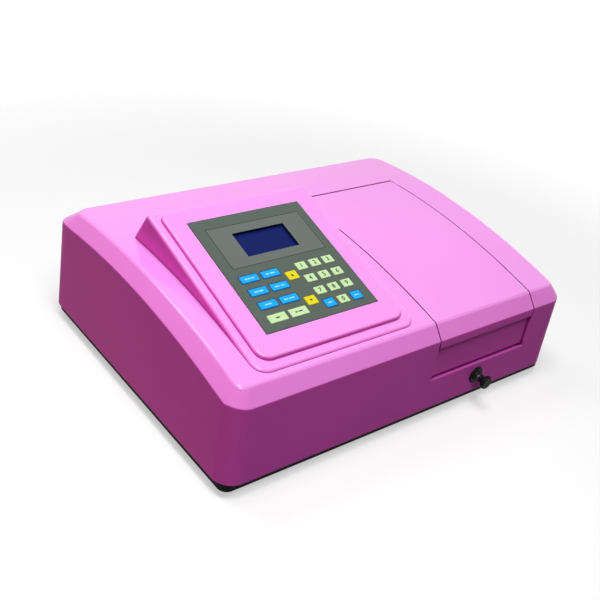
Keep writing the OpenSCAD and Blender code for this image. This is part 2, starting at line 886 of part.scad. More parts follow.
module pull_rod() {
    color(steel)
        bar_y([lid_x, -half_d - knob_reach + 3, rod_z], rod_r, carriage_front + 4 + half_d + knob_reach - 3);
}

// Turned knob: a collar, a waist and a round head
module pull_knob() {
    head = 6;
    collar = 11;
    profile = [[0, 0], [knob_r - 0.5, 0], [knob_r, 2], [knob_r, head - 2], [knob_r - 2, head],
        [4.4, head + 1], [4.2, collar - 2], [5, collar], [0, collar]];
    color(black)
        translate([lid_x, -half_d - knob_reach, rod_z])
            rotate([-90, 0, 0])
                difference() {
                    rotate_extrude()
                        polygon(rounded(profile, [0, 1.5, 0, 1.2, 0.6, 1, 0, 0, 0], 3));
                    translate([0, 0, 3])
                        cylinder(r = rod_r, h = collar);
                }
}

// Flanged bush that guides the rod through the front wall
module rod_bush() {
    flange = 2.6;
    profile = [[rod_r + running, -flange - 2.6], [5.6, -flange - 2.6], [6.6, -flange], [bush_r - 1, -flange],
        [bush_r, -1], [bush_r, 0], [bush_body, 0], [bush_body, 8], [rod_r + running, 8]];
    color(black)
        translate([lid_x, bush_y, rod_z])
            rotate([-90, 0, 0])
                rotate_extrude()
                    polygon(profile);
}

// Optics

detector_x = 180;

module detector_box() {
    color(steel) {
        difference() {
            block([detector_x, beam_y - 25, floor_z], [detector_x + 32, beam_y + 25, 75]);
            block([detector_x + 3, beam_y - 22, 15], [detector_x + 29, beam_y + 22, 76]);
            bar_x([detector_x - 1, beam_y, beam_z], 5, 10);
        }
        difference() {
            bar_x([tub_right + 0.3, beam_y, beam_z], 8, detector_x - tub_right - 0.3 + 1);
            bar_x([tub_right, beam_y, beam_z], 5, 20);
        }
    }
}

// Photodiode on a small upright board
module detector() {
    board_x = detector_x + 27.4;
    color(board_green) {
        block([board_x, beam_y - 18, floor_z + 3], [board_x + 1.6, beam_y + 18, 65]);
        bar_x([board_x - 7, beam_y, beam_z], 4.6, 7.5);
    }
}

mono_from = [-160, -75];
mono_to = [20, 55];
mono_top = 92;
mono_wall = 5;
cover_t = 3;
cover_screw = mono_wall / 2;
grating_x = -100;
grating_y = -10;
shaft_r = 2.5;
motor_w = 42;
motor_h = 38;
motor_boss = 11;
lamp_x = -20;
lamp_z = 60;

// Four places near the corners of the monochromator where its cover is screwed down
module at_cover_screws() {
    for (x = [mono_from.x + cover_screw, mono_to.x - cover_screw],
            y = [mono_from.y + cover_screw, mono_to.y - cover_screw])
        translate([x, y, 0])
            children();
}

// Cast monochromator body with ribs outside, a beam spout to the compartment and one to the lamp
module mono_housing() {
    color([0.55, 0.56, 0.58])
        difference() {
            union() {
                difference() {
                    union() {
                        block([mono_from.x, mono_from.y, floor_z], [mono_to.x, mono_to.y, mono_top]);
                        for (i = [1 : 4])
                            block([mono_from.x + i * 36 - 2, mono_from.y - 4, floor_z],
                                [mono_from.x + i * 36 + 2, mono_from.y + 1, mono_top - 8]);
                        bar_x([mono_to.x - 1, beam_y, beam_z], 9, tub_left - 0.3 - mono_to.x + 1);
                        bar_y([lamp_x, mono_to.y - 1, lamp_z], 9, 16);
                    }
                    block([mono_from.x + mono_wall, mono_from.y + mono_wall, floor_z + mono_wall],
                        [mono_to.x - mono_wall, mono_to.y - mono_wall, mono_top + 1]);
                }
                translate([grating_x, grating_y, floor_z + 1])
                    cylinder(r = 7, h = 12);
            }
            translate([grating_x, grating_y, floor_z + 6])
                cylinder(r = shaft_r + running, h = 20);
            bar_x([mono_to.x - 10, beam_y, beam_z], 4, 40);
            bar_y([lamp_x, mono_to.y - 10, lamp_z], 4, 40);
            at_cover_screws()
                translate([0, 0, mono_top - 6])
                    cylinder(r = small_r, h = 10);
        }
}

module mono_cover() {
    lip = 0.4;
    color(steel)
        difference() {
            union() {
                block([mono_from.x, mono_from.y, mono_top], [mono_to.x, mono_to.y, mono_top + cover_t]);
                difference() {
                    block([mono_from.x + mono_wall + lip, mono_from.y + mono_wall + lip, mono_top - 4],
                        [mono_to.x - mono_wall - lip, mono_to.y - mono_wall - lip, mono_top + 1]);
                    block([mono_from.x + mono_wall + 4, mono_from.y + mono_wall + 4, mono_top - 5],
                        [mono_to.x - mono_wall - 4, mono_to.y - mono_wall - 4, mono_top]);
                }
            }
            translate([grating_x, grating_y, mono_top - 1])
                cylinder(r = motor_boss, h = 10);
            at_cover_screws()
                translate([0, 0, mono_top - 1])
                    cylinder(r = small_r + 0.2, h = 10);
        }
}

module small_screw(l) {
    cylinder(r = small_r, h = l);
    translate([0, 0, -small_head_h])
        cylinder(r1 = small_head - 0.5, r2 = small_head, h = small_head_h);
}

// Equal screws of the monochromator's cover and the mains inlet
module panel_screws() {
    color(steel) {
        at_cover_screws()
            translate([0, 0, mono_top + cover_t])
                rotate([180, 0, 0])
                    small_screw(small_l);
        for (side = [-1, 1])
            translate([inlet_x + side * inlet_hole, fitting_y + inlet_flange, fitting_z])
                rotate([90, 0, 0])
                    small_screw(small_l);
    }
}

// Stepping motor on the cover, with its shaft hole below
module wavelength_motor() {
    color([0.2, 0.2, 0.21])
        translate([grating_x, grating_y, mono_top])
            difference() {
                union() {
                    translate([0, 0, cover_t])
                        linear_extrude(motor_h)
                            polygon(round_box(motor_w, motor_w, 4));
                    cylinder(r = motor_boss, h = cover_t + 1);
                }
                translate([0, 0, -1])
                    cylinder(r = shaft_r + running, h = 21);
            }
}

// Upright shaft between the motor and the housing's floor, with a flat holder
module grating_mount() {
    foot = floor_z + 6.5;
    color(steel)
        translate([grating_x, grating_y, 0]) {
            translate([0, 0, foot])
                cylinder(r = shaft_r, h = mono_top + 19 - foot);
            block([-15, -6, 30], [15, 4, 64]);
        }
}

module grating() {
    color([0.75, 0.78, 0.85])
        translate([grating_x, grating_y, 0])
            block([-14, 4, 32], [14, 10, 62]);
}

// Two round collimating mirrors on their stands
module mirrors() {
    x = mono_from.x + mono_wall + 3;
    color([0.8, 0.82, 0.86])
        for (y = [-46, 30])
            union() {
                bar_x([x, y, beam_z], 16, 7);
                block([x, y - 10, floor_z + mono_wall], [x + 7, y + 10, beam_z - 8]);
            }
}

// Bent sheet box with louvre slots round the lamp
module lamp_house() {
    low = [lamp_x - 38, mono_to.y + 18, floor_z];
    top = [lamp_x + 38, 140, 102];
    sheet = 2;
    color(steel)
        difference() {
            block(low, top);
            block(low + [sheet, sheet, sheet], top + [-sheet, -sheet, 1]);
            bar_y([lamp_x, low.y - 1, lamp_z], 6, 10);
            for (i = [0 : 5])
                block([low.x + 12, top.y - 5, 30 + i * 10], [top.x - 12, top.y + 1, 33 + i * 10]);
        }
}

module lamp() {
    base_w = 18;
    seat_y = 106;
    color([0.92, 0.92, 0.9])
        translate([lamp_x, seat_y, 0]) {
            block([-base_w / 2, -base_w / 2, floor_z + 2], [base_w / 2, base_w / 2, 48]);
            translate([0, 0, 47])
                rotate_extrude()
                    polygon(rounded([[0, 0], [6, 0], [6, 24], [0, 30]], [0, 0, 5, 0], 4));
        }
}

// Electronics

module board(p, size, posts) {
    stand = 6;
    translate(p) {
        translate([0, 0, stand])
            cube([size.x, size.y, 1.6]);
        for (x = [6, size.x - 6], y = [6, size.y - 6])
            translate([x, y, 0])
                cylinder(r = posts, h = stand + 0.5);
    }
}

// Supply board with a toroidal transformer, capacitors and a finned heat sink
module power_supply() {
    p = [-212, 72, floor_z];
    deck = 7.6;
    color(board_green)
        union() {
            board(p, [130, 68], 3);
            translate(p + [38, 34, deck - 0.2])
                rotate_extrude()
                    translate([19, 11])
                        polygon(round_box(20, 22, 6, 4));
            for (x = [82, 102])
                translate(p + [x, 20, deck - 0.2])
                    cylinder(r = 8, h = 30);
            for (i = [0 : 5])
                translate(p + [74 + i * 8, 40, deck - 0.2])
                    cube([3, 22, 34]);
            translate(p + [74, 49, deck - 0.2])
                cube([43, 4, 34]);
        }
}

module main_board() {
    p = [-196, -158, floor_z];
    deck = 7.6;
    color(board_green)
        union() {
            board(p, [200, 72], 3);
            translate(p + [60, 26, deck - 0.2])
                cube([28, 28, 3]);
            for (x = [110, 135, 160])
                translate(p + [x, 30, deck - 0.2])
                    cube([16, 9, 4]);
            translate(p + [20, 56, deck - 0.2])
                cube([50, 9, 9]);
            translate(p + [130, 56, deck - 0.2])
                cube([50, 9, 9]);
        }
}

// Rear fittings

module fan_frame() {
    strut = 4;
    color(black)
        translate([fan_x, fan_back - fan_t, fan_z])
            rotate([-90, 0, 0]) {
                difference() {
                    linear_extrude(fan_t)
                        polygon(round_box(fan_w, fan_w, 4));
                    translate([0, 0, -1])
                        cylinder(r = fan_bore, h = fan_t + 2);
                    for (x = [-fan_hole, fan_hole], y = [-fan_hole, fan_hole])
                        translate([x, y, -1])
                            cylinder(r = small_r + 0.2, h = fan_t + 2);
                }
                difference() {
                    union() {
                        cylinder(r = fan_hub, h = 3);
                        for (a = [45 : 90 : 315])
                            rotate(a)
                                translate([0, -strut / 2, 0])
                                    cube([fan_bore + 1, strut, 2.4]);
                    }
                    translate([0, 0, -1])
                        cylinder(r = fan_pin + running, h = 5);
                }
            }
}

module fan_rotor() {
    blade_r = fan_bore - 1;
    color([0.12, 0.12, 0.13])
        translate([fan_x, fan_back - fan_t, fan_z])
            rotate([-90, 0, 0]) {
                translate([0, 0, 3.6])
                    cylinder(r = fan_hub - 0.5, h = 10);
                translate([0, 0, 0.5])
                    cylinder(r = fan_pin, h = 5);
                for (i = [0 : fan_blades - 1])
                    rotate(i * 360 / fan_blades)
                        translate([fan_hub - 2, 0, 8.4])
                            rotate([38, 0, 0])
                                translate([0, -6, -0.7])
                                    cube([blade_r - fan_hub + 1.4, 12, 1.4]);
            }
}

module fan_screws() {
    color(steel)
        for (x = [-fan_hole, fan_hole], z = [-fan_hole, fan_hole])
            translate([fan_x + x, fan_back - fan_t, fan_z + z])
                rotate([-90, 0, 0])
                    small_screw(fan_t + 3.6);
}

// Three-pin appliance inlet with a flange
module mains_inlet() {
    deep = 24;
    color(black)
        translate([inlet_x, fitting_y, fitting_z])
            rotate([-90, 0, 0])
                difference() {
                    union() {
                        linear_extrude(inlet_flange)
                            polygon(round_box(48, 25, 5));
                        translate([0, 0, -deep])
                            linear_extrude(deep + 1)
                                polygon(round_box(27.4, 20.4, 2));
                    }
                    difference() {
                        translate([0, 0, -16])
                            linear_extrude(30)
                                polygon(rounded([[-12, -8], [12, -8], [12, 4], [8, 8], [-8, 8], [-12, 4]],
                                    [2, 2, 1, 1, 1, 1], 3));
                        for (pin = [[-7, 2], [0, -2], [7, 2]])
                            translate([pin.x - 1, pin.y - 2, -17])
                                cube([2, 4, 15]);
                    }
                    for (x = [-inlet_hole, inlet_hole])
                        translate([x, 0, -1])
                            cylinder(r = small_r + 0.2, h = inlet_flange + 2);
                }
}

rocker_y = fitting_y + 0.4;

module switch_frame() {
    flange = 2;
    color(black)
        translate([switch_x, fitting_y, fitting_z])
            rotate([-90, 0, 0])
                difference() {
                    union() {
                        linear_extrude(flange)
                            polygon(round_box(24, 18, 2));
                        translate([0, 0, -18])
                            linear_extrude(19)
                                polygon(round_box(19.4, 13.4, 1));
                    }
                    translate([-8, -5, -12])
                        cube([16, 10, 20]);
                    translate([0, -6, 0.4])
                        rotate([-90, 0, 0])
                            cylinder(r = 1.2 + running, h = 12);
                }
}

// Rocker with two faces, one half pressed in at rest
module switch_rocker() {
    color([0.12, 0.12, 0.13])
        translate([switch_x, rocker_y, fitting_z]) {
            translate([0, 0, -4.6])
                rotate([0, 0, -8])
                    linear_extrude(9.2)
                        polygon(rounded([[-7.2, -3], [7.2, -3], [7.2, 2.8], [0, 1.8], [-7.2, 2.8]],
                            [1.5, 1.5, 0.6, 0, 0.6], 3));
            translate([0, 0, -5.8])
                cylinder(r = 1.2, h = 11.6);
        }
}

// D-shaped data socket with its metal shell and two hexagon posts
module data_port() {
    flange = 1.6;
    reach = half_d + rear_reach - fitting_y;
    shell = [[-8.5, 4], [8.5, 4], [7.4, -4], [-7.4, -4]];
    color(steel)
        translate([port_x, fitting_y, fitting_z])
            rotate([-90, 0, 0]) {
                linear_extrude(flange)
                    polygon(round_box(31, 12.6, 2));
                difference() {
                    translate([0, 0, -10])
                        linear_extrude(reach + 10)
                            polygon(rounded(shell, [2, 2, 2, 2], 4));
                    for (i = [0 : 4])
                        translate([(i - 2) * 2.76, 1.4, reach - 5])
                            cylinder(r = 0.55, h = 6);
                    for (i = [0 : 3])
                        translate([(i - 1.5) * 2.76, -1.4, reach - 5])
                            cylinder(r = 0.55, h = 6);
                }
                for (x = [-12.5, 12.5])
                    translate([x, 0, flange - 0.2])
                        cylinder(r = 2.7, h = 4, $fn = 6);
            }
}

placed() base_tray();
placed() feet();
placed() casing();
placed() casing_screws();
placed() console();
placed() membrane();
placed() lcd_window();
placed() lcd_module();
placed() lid();
placed() hinge_pins();
placed() tub();
placed() lid_seal();
placed() guide_rods();
placed() carriage();
placed() pull_rod();
placed() pull_knob();
placed() rod_bush();
placed() beam_windows();
placed() detector_box();
placed() detector();
placed() mono_housing();
placed() mono_cover();
placed() panel_screws();
placed() wavelength_motor();
placed() grating_mount();
placed() grating();
placed() mirrors();
placed() lamp_house();
placed() lamp();
placed() power_supply();
placed() main_board();
placed() fan_frame();
placed() fan_rotor();
placed() fan_screws();
placed() mains_inlet();
placed() switch_frame();
placed() switch_rocker();
placed() data_port();
for (k = KEYS)
    placed() key(k);
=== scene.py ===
import json
import math

import bmesh
import bpy
from mathutils import Matrix, Vector


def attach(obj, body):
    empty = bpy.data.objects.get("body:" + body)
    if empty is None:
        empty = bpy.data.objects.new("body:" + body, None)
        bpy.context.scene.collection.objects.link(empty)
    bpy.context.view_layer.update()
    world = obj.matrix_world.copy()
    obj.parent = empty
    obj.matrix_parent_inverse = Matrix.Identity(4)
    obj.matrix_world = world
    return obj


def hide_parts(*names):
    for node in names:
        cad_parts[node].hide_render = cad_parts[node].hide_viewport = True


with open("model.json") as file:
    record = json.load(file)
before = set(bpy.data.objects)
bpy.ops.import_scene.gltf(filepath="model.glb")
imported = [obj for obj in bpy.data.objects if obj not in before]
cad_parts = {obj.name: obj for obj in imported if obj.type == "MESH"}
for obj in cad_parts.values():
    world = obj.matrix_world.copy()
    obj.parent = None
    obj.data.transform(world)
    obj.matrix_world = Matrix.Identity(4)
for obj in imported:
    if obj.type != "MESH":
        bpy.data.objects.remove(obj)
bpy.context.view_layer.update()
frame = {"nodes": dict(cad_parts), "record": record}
scene = bpy.context.scene
scene.view_settings.view_transform = "Standard"
mm = 0.001
print("frame loaded:", len(frame["nodes"]), "solids")


# Camera, solved from the edges of the casing
photoCamera = {
    "place": (-0.63618, -0.64239, 0.62288),
    "azimuth": -43.58,
    "elevation": 31.94,
    "roll": -10.98,
    "focalPixels": 925.24,
    "imagePixels": 600,
    "sensor": 36.0,
    "clip": (0.05, 30),
}


def makeCamera(c):
    azimuth, elevation, roll = (math.radians(c[k]) for k in ("azimuth", "elevation", "roll"))
    back = Vector((math.sin(azimuth) * math.cos(elevation),
                   -math.cos(azimuth) * math.cos(elevation), math.sin(elevation)))
    level = (-back).cross(Vector((0, 0, 1))).normalized()
    fall = (-back).cross(level)
    right = level * math.cos(roll) + fall * math.sin(roll)
    down = fall * math.cos(roll) - level * math.sin(roll)
    data = bpy.data.cameras.new("photoCamera")
    data.sensor_width = c["sensor"]
    data.lens = c["focalPixels"] * c["sensor"] / c["imagePixels"]
    data.clip_start, data.clip_end = c["clip"]
    camera = bpy.data.objects.new("photoCamera", data)
    scene.collection.objects.link(camera)
    turn = Matrix((right, -down, back)).transposed().to_4x4()
    camera.matrix_world = Matrix.Translation(c["place"]) @ turn
    scene.camera = camera


makeCamera(photoCamera)
print("camera placed")


# Small helpers for node trees
def newMaterial(name):
    material = bpy.data.materials.new(name)
    material.use_nodes = True
    tree = material.node_tree
    shader = tree.nodes["Principled BSDF"]
    return material, tree, shader


def addNode(tree, kind, **settings):
    node = tree.nodes.new(kind)
    for key, value in settings.items():
        setattr(node, key, value)
    return node


def setInputs(node, values):
    for key, value in values.items():
        node.inputs[key].default_value = value
    return node


def useMath(tree, operation, first, second=None, clamp=False):
    node = addNode(tree, "ShaderNodeMath", operation=operation, use_clamp=clamp)
    for socket, value in zip(node.inputs, (first, second)):
        if value is None:
            continue
        if isinstance(value, (int, float)):
            socket.default_value = value
        else:
            tree.links.new(value, socket)
    return node.outputs[0]


def mixColour(tree, factor, first, second):
    node = addNode(tree, "ShaderNodeMix", data_type="RGBA")
    for name, value in (("Factor", factor), ("A", first), ("B", second)):
        socket = next(s for s in node.inputs if s.name == name and (name == "Factor" or s.type == "RGBA"))
        if isinstance(value, (int, float)):
            socket.default_value = value
        elif isinstance(value, tuple):
            socket.default_value = (*value, 1) if len(value) == 3 else value
        else:
            tree.links.new(value, socket)
    return next(s for s in node.outputs if s.type == "RGBA")


def newGroup(name, inputs, outputs):
    group = bpy.data.node_groups.new(name, "ShaderNodeTree")
    for label, kind, value in inputs:
        socket = group.interface.new_socket(label, in_out="INPUT", socket_type=kind)
        socket.default_value = value
    for label, kind in outputs:
        group.interface.new_socket(label, in_out="OUTPUT", socket_type=kind)
    return group, group.nodes.new("NodeGroupInput"), group.nodes.new("NodeGroupOutput")


def placeGroup(tree, group, values):
    node = addNode(tree, "ShaderNodeGroup", node_tree=group)
    return setInputs(node, values)


floatSocket, vectorSocket = "NodeSocketFloat", "NodeSocketVector"


# Fine moulded grain: a height for bump and a slow mask that varies the gloss
def makeGrain():
    group, inside, out = newGroup(
        "mouldedGrain",
        [("Grain Size", floatSocket, 0.0006), ("Patch Size", floatSocket, 0.05)],
        [("Height", floatSocket), ("Patches", floatSocket)])
    place = addNode(group, "ShaderNodeTexCoord")
    for label, size, detail in (("Height", "Grain Size", 2.0), ("Patches", "Patch Size", 3.0)):
        noise = addNode(group, "ShaderNodeTexNoise")
        setInputs(noise, {"Detail": detail, "Roughness": 0.55})
        group.links.new(place.outputs["Object"], noise.inputs["Vector"])
        group.links.new(useMath(group, "DIVIDE", 1.0, inside.outputs[size]), noise.inputs["Scale"])
        group.links.new(noise.outputs["Fac"], out.inputs[label])
    return group


# Rubbed edges: where the surface turns sharply, broken up by noise, and a normal that rounds the edge
def makeEdges():
    group, inside, out = newGroup(
        "rubbedEdges",
        [("Width", floatSocket, 0.0012), ("Break Up", floatSocket, 0.6), ("Gain", floatSocket, 3.0)],
        [("Mask", floatSocket), ("Normal", vectorSocket)])
    place = addNode(group, "ShaderNodeTexCoord")
    rounded = addNode(group, "ShaderNodeBevel", samples=4)
    flat = addNode(group, "ShaderNodeNewGeometry")
    group.links.new(inside.outputs["Width"], rounded.inputs["Radius"])
    compare = addNode(group, "ShaderNodeVectorMath", operation="DOT_PRODUCT")
    group.links.new(rounded.outputs["Normal"], compare.inputs[0])
    group.links.new(flat.outputs["Normal"], compare.inputs[1])
    apart = useMath(group, "SUBTRACT", 1.0, compare.outputs["Value"])
    turned = useMath(group, "MULTIPLY", apart, inside.outputs["Gain"], True)
    noise = setInputs(addNode(group, "ShaderNodeTexNoise"), {"Scale": 180.0, "Detail": 3.0})
    group.links.new(place.outputs["Object"], noise.inputs["Vector"])
    broken = useMath(group, "MULTIPLY", noise.outputs["Fac"], inside.outputs["Break Up"])
    group.links.new(useMath(group, "SUBTRACT", turned, broken, True), out.inputs["Mask"])
    group.links.new(rounded.outputs["Normal"], out.inputs["Normal"])
    return group


# Fine dust that settles on what faces up
def makeDust():
    group, inside, out = newGroup("settledDust", [("Amount", floatSocket, 0.1)], [("Mask", floatSocket)])
    place = addNode(group, "ShaderNodeTexCoord")
    split = addNode(group, "ShaderNodeSeparateXYZ")
    group.links.new(place.outputs["Normal"], split.inputs[0])
    noise = setInputs(addNode(group, "ShaderNodeTexNoise"), {"Scale": 260.0, "Detail": 4.0, "Roughness": 0.7})
    group.links.new(place.outputs["Object"], noise.inputs["Vector"])
    upward = useMath(group, "MULTIPLY", split.outputs["Z"], noise.outputs["Fac"], True)
    group.links.new(useMath(group, "MULTIPLY", upward, inside.outputs["Amount"], True), out.inputs["Mask"])
    return group


# What faces up above a given height, made uneven by a slow noise: a mask for painted top light and for polish
def makeTopLightAndPolish():
    group, inside, out = newGroup(
        "paintedTopLightAndPolish",
        [("Lowest", floatSocket, 0.3), ("Amount", floatSocket, 0.5), ("Above", floatSocket, 0.08)],
        [("Mask", floatSocket)])
    place = addNode(group, "ShaderNodeTexCoord")
    spot = addNode(group, "ShaderNodeSeparateXYZ")
    group.links.new(place.outputs["Object"], spot.inputs[0])
    high = useMath(group, "GREATER_THAN", spot.outputs["Z"], inside.outputs["Above"])
    split = addNode(group, "ShaderNodeSeparateXYZ")
    group.links.new(place.outputs["Normal"], split.inputs[0])
    ramp = setInputs(addNode(group, "ShaderNodeMapRange", interpolation_type="SMOOTHSTEP"), {"From Max": 1.0})
    group.links.new(inside.outputs["Lowest"], ramp.inputs["From Min"])
    group.links.new(split.outputs["Z"], ramp.inputs["Value"])
    noise = setInputs(addNode(group, "ShaderNodeTexNoise"), {"Scale": 7.0, "Detail": 3.0})
    group.links.new(place.outputs["Object"], noise.inputs["Vector"])
    uneven = setInputs(addNode(group, "ShaderNodeMapRange"), {"To Min": 0.85, "To Max": 1.1})
    group.links.new(noise.outputs["Fac"], uneven.inputs["Value"])
    upper = useMath(group, "MULTIPLY", ramp.outputs["Result"], high)
    paintedTopLight = useMath(group, "MULTIPLY", upper, uneven.outputs["Result"])
    group.links.new(useMath(group, "MULTIPLY", paintedTopLight, inside.outputs["Amount"], True), out.inputs["Mask"])
    return group


# Painted shade in seams: darkens where little of the sky around a point is open
def makeSeamShade():
    group, inside, out = newGroup(
        "paintedSeamShade",
        [("Reach", floatSocket, 0.01), ("Openness", floatSocket, 0.72), ("Gain", floatSocket, 2.2)],
        [("Mask", floatSocket)])
    sky = addNode(group, "ShaderNodeAmbientOcclusion", samples=8)
    group.links.new(inside.outputs["Reach"], sky.inputs["Distance"])
    closed = useMath(group, "SUBTRACT", inside.outputs["Openness"], sky.outputs["AO"])
    group.links.new(useMath(group, "MULTIPLY", closed, inside.outputs["Gain"], True), out.inputs["Mask"])
    return group


# Drawn or rolled metal: fine lines along one axis, as a height and a mask
def makeBrushing():
    group, inside, out = newGroup(
        "brushedLines",
        [("Along " + axis, floatSocket, 1.0) for axis in "XYZ"],
        [("Lines", floatSocket), ("Tarnish", floatSocket)])
    place = addNode(group, "ShaderNodeTexCoord")
    stretch = addNode(group, "ShaderNodeCombineXYZ")
    for axis in "XYZ":
        group.links.new(inside.outputs["Along " + axis], stretch.inputs[axis])
    scaled = addNode(group, "ShaderNodeVectorMath", operation="MULTIPLY")
    group.links.new(place.outputs["Object"], scaled.inputs[0])
    group.links.new(stretch.outputs[0], scaled.inputs[1])
    layers = (("Lines", 900.0, scaled.outputs[0]), ("Tarnish", 60.0, place.outputs["Object"]))
    for label, scale, source in layers:
        noise = setInputs(addNode(group, "ShaderNodeTexNoise"), {"Scale": scale, "Detail": 3.0})
        group.links.new(source, noise.inputs["Vector"])
        group.links.new(noise.outputs["Fac"], out.inputs[label])
    return group


# The console's own plane: u across, v up the slope, w out of the panel, all in metres
consolePlane = {"origin": (-0.096, -0.14775, 0.1238), "tilt": math.radians(15.3)}


def consolePlace(tree):
    place = addNode(tree, "ShaderNodeTexCoord")
    turn = addNode(tree, "ShaderNodeMapping", vector_type="TEXTURE")
    setInputs(turn, {"Location": consolePlane["origin"], "Rotation": (consolePlane["tilt"], 0, 0)})
    tree.links.new(place.outputs["Object"], turn.inputs["Vector"])
    split = addNode(tree, "ShaderNodeSeparateXYZ")
    tree.links.new(turn.outputs["Vector"], split.inputs[0])
    return split.outputs["X"], split.outputs["Y"], split.outputs["Z"]


# A printed rectangle in the console's plane
def makeBox():
    group, inside, out = newGroup(
        "printedBox",
        [("Centre U", floatSocket, 0.0), ("Centre V", floatSocket, 0.0), ("Half U", floatSocket, 0.01),
         ("Half V", floatSocket, 0.01), ("Blur", floatSocket, 0.0001)],
        [("Mask", floatSocket)])
    depth = []
    for along, axis in zip(consolePlace(group), "UV"):
        offset = useMath(group, "SUBTRACT", along, inside.outputs["Centre " + axis])
        apart = useMath(group, "ABSOLUTE", offset)
        depth.append(useMath(group, "SUBTRACT", inside.outputs["Half " + axis], apart))
    nearest = useMath(group, "MINIMUM", depth[0], depth[1])
    group.links.new(useMath(group, "DIVIDE", nearest, inside.outputs["Blur"], True), out.inputs["Mask"])
    return group


# Height above the console's panel, as a soft step
def makeStep():
    group, inside, out = newGroup(
        "raisedFace",
        [("Height", floatSocket, 0.0046), ("Blur", floatSocket, 0.0001)],
        [("Mask", floatSocket)])
    outward = consolePlace(group)[2]
    above = useMath(group, "SUBTRACT", outward, inside.outputs["Height"])
    group.links.new(useMath(group, "DIVIDE", above, inside.outputs["Blur"], True), out.inputs["Mask"])
    return group


grainGroup = makeGrain()
edgeGroup = makeEdges()
dustGroup = makeDust()
topLightAndPolishGroup = makeTopLightAndPolish()
seamShadeGroup = makeSeamShade()
brushGroup = makeBrushing()
boxGroup = makeBox()
stepGroup = makeStep()
print("shader groups made")


def spreadRoughness(tree, shader, mask, low, high):
    spread = setInputs(addNode(tree, "ShaderNodeMapRange"), {"To Min": low, "To Max": high})
    tree.links.new(mask, spread.inputs["Value"])
    tree.links.new(spread.outputs["Result"], shader.inputs["Roughness"])


def bumpFrom(tree, shader, height, strength, depth, base=None):
    bump = setInputs(addNode(tree, "ShaderNodeBump"), {"Strength": strength, "Distance": depth})
    tree.links.new(height, bump.inputs["Height"])
    if base is not None:
        tree.links.new(base, bump.inputs["Normal"])
    tree.links.new(bump.outputs["Normal"], shader.inputs["Normal"])


# A moulded, painted or cast finish from the shared groups
mouldedLook = {"breakUp": 0.7, "dustColour": (0.62, 0.60, 0.58), "metal": 0.0, "shine": 0.5}


def mouldedFinish(name, look, paint=None):
    look = {**mouldedLook, **look}
    material, tree, shader = newMaterial(name)
    grain = placeGroup(tree, grainGroup, {"Grain Size": look["grain"], "Patch Size": look["patch"]})
    edges = placeGroup(tree, edgeGroup, {"Width": look["edge"], "Break Up": look["breakUp"]})
    dust = placeGroup(tree, dustGroup, {"Amount": look["dust"]})
    colour = mixColour(tree, grain.outputs["Patches"], look["deep"], look["light"])
    if paint is not None:
        colour = paint(tree, colour)
    colour = mixColour(tree, edges.outputs["Mask"], colour, look["rubbed"])
    colour = mixColour(tree, dust.outputs["Mask"], colour, look["dustColour"])
    # Painted shade: seams and recesses are darkened toward a dark purple where little sky is open
    if "seamShadeColour" in look:
        seamShade = placeGroup(tree, seamShadeGroup, {"Reach": look["seamShadeReach"]})
        colour = mixColour(tree, seamShade.outputs["Mask"], colour, look["seamShadeColour"])
    tree.links.new(colour, shader.inputs["Base Color"])
    spreadRoughness(tree, shader, grain.outputs["Patches"], *look["rough"])
    bumpFrom(tree, shader, grain.outputs["Height"], look["bump"], look["depth"], edges.outputs["Normal"])
    setInputs(shader, {"Metallic": look["metal"], "Specular IOR Level": look["shine"]})
    if "polish" in look:
        gloss = placeGroup(tree, topLightAndPolishGroup, {"Lowest": look["topLightAndPolishFrom"], "Amount": look["polish"]})
        tree.links.new(gloss.outputs["Mask"], shader.inputs["Coat Weight"])
        setInputs(shader, {"Coat Roughness": look["coatRough"], "Coat IOR": look["coatIor"],
                           "Specular Tint": (*look["tint"], 1)})
    return material


# Pink moulding: a paler pink painted where it faces up as painted top light, polished there, and painted
# shade in its seams
pinkLook = {
    "deep": (0.850, 0.112, 0.610), "light": (0.890, 0.126, 0.650), "rubbed": (0.92, 0.30, 0.82),
    "rough": (0.35, 0.45), "grain": 0.0009, "patch": 0.09, "edge": 0.0012, "dust": 0.03,
    "bump": 0.05, "depth": 0.0002, "shine": 0.04, "tint": (1.0, 0.60, 0.97),
    # The paler pink laid on faces that turn up is painted top light
    "paintedTopLight": (0.975, 0.355, 0.935), "topLightAndPolishFrom": 0.25, "topLightAmount": 0.85,
    "polish": 0.9, "coatRough": 0.13, "coatIor": 1.6,
    # The dark purple for seams and recesses is painted shade
    "seamShadeColour": (0.085, 0.003, 0.075), "seamShadeReach": 0.010,
}


# Painted top light: faces turned up above a height are mixed toward a paler pink
def paintTopLight(tree, ground):
    topLightMask = placeGroup(tree, topLightAndPolishGroup, {"Lowest": pinkLook["topLightAndPolishFrom"], "Amount": pinkLook["topLightAmount"]})
    return mixColour(tree, topLightMask.outputs["Mask"], ground, pinkLook["paintedTopLight"])


